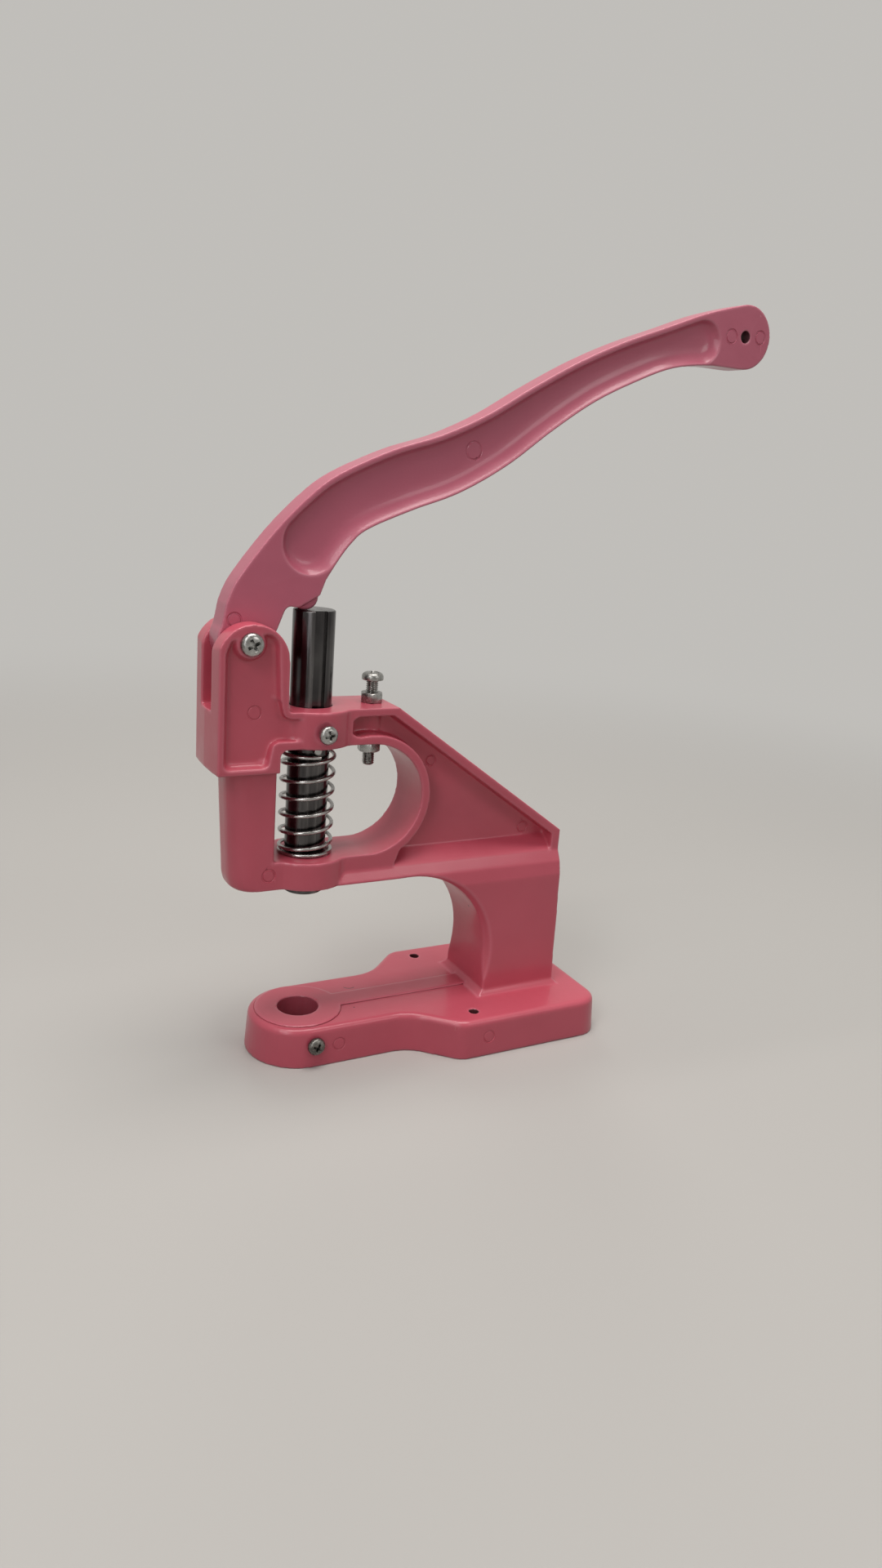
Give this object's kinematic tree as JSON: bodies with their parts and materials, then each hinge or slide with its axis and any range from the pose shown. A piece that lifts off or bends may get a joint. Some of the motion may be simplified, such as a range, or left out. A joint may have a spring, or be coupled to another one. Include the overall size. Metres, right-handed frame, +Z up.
{
  "type": "button badge press",
  "caption": "Hand lever badge press: C-frame casting on a long foot, with a curved lever that drives a spring-returned vertical ram.",
  "frame": {"origin": "foot of the ram axis, where it meets the table under the foot", "axes": "+Z up along the ram axis, +X back towards the column, -Y the side with the screw heads"},
  "size_m": [0.2979, 0.0946, 0.385],
  "materials": {
    "enamel": "glossy pink enamel over a die-cast aluminium body",
    "dark_steel": "dark, ground and oiled steel",
    "bright_steel": "zinc or nickel plated steel"
  },
  "bodies": {
    "press_body": {"frame": "enamel", "pivot_screw": "bright_steel", "pivot_nut": "bright_steel", "guide_screw": "bright_steel", "stop_nut_upper": "bright_steel", "stop_nut_lower": "bright_steel", "return_spring": "bright_steel"},
    "hand_lever": {"lever": "enamel"},
    "ram_unit": {"ram": "dark_steel", "spring_pin": "bright_steel"},
    "stop": {"stop_screw": "bright_steel"},
    "die_clamp": {"die_screw": "bright_steel"}
  },
  "joints": [
    {"name": "lever_hinge", "type": "hinge", "parent": "press_body", "child": "hand_lever", "pos_m": [-0.0358, 0, 0.2115], "axis": [0, 1, 0], "range_deg": [0, 55], "stiffness_Nm_per_rad": 2.3, "springref_deg": -20.05},
    {"name": "ram_slide", "type": "slide", "parent": "press_body", "child": "ram_unit", "axis": [0, 0, 1], "range_m": [-0.0328, 0], "stiffness_N_per_m": 10, "springref_m": 0.335, "deforming": ["return_spring"]},
    {"name": "stop_adjust", "type": "slide", "parent": "press_body", "child": "stop", "axis": [0, 0, 1], "range_m": [-0.005, 0]},
    {"name": "die_screw_adjust", "type": "slide", "parent": "press_body", "child": "die_clamp", "axis": [0, -1, 0], "range_m": [0, 0.004]}
  ],
  "couplings": [
    {"joint": "ram_slide", "follows": "lever_hinge", "m_per_rad": -0.03405}
  ]
}
